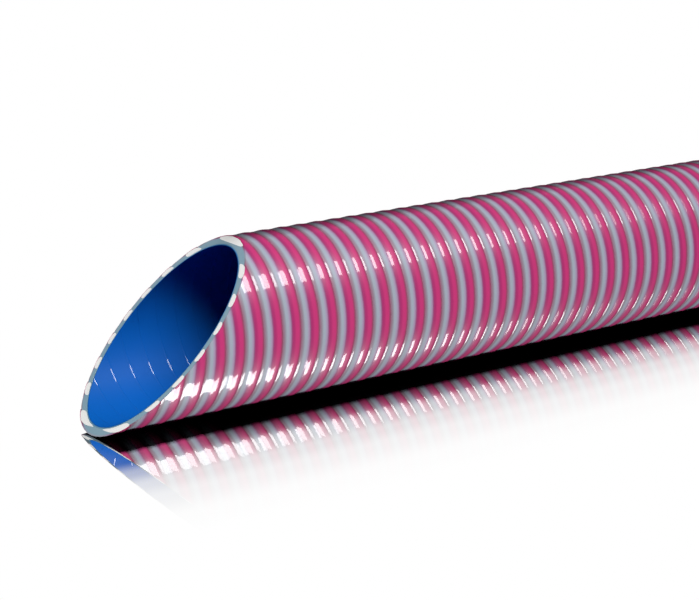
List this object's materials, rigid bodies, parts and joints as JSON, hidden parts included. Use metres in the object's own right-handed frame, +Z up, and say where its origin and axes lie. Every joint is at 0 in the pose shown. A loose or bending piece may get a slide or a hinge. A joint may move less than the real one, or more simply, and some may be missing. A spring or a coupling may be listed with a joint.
{
  "type": "reinforced hose",
  "caption": "Straight smooth-bore flexible hose with a rigid helix in its soft wall and a coloured spiral stripe, cut slanted at the front and square at the back.",
  "frame": {"origin": "middle of the hose's length, on the surface that the hose lies on", "axes": "+X along the hose from the slanted end to the square end, +Z up"},
  "size_m": [0.9993, 0.1688, 0.1688],
  "materials": {
    "liner": "smooth deep blue soft plastic",
    "wall": "glossy light grey soft plastic, slightly translucent",
    "helix": "off-white rigid plastic",
    "stripe": "glossy magenta soft plastic"
  },
  "bodies": {
    "root": {"liner": "liner", "wall": "wall", "helix": "helix", "helix_arc_1": "helix", "helix_arc_2": "helix", "helix_arc_3": "helix", "helix_arc_4": "helix", "helix_arc_5": "helix", "helix_arc_6": "helix", "helix_arc_7": "helix", "stripe": "stripe", "stripe_arc_1": "stripe", "stripe_arc_2": "stripe", "stripe_arc_3": "stripe", "stripe_arc_4": "stripe", "stripe_arc_5": "stripe", "stripe_arc_6": "stripe", "stripe_arc_7": "stripe"}
  },
  "joints": []
}
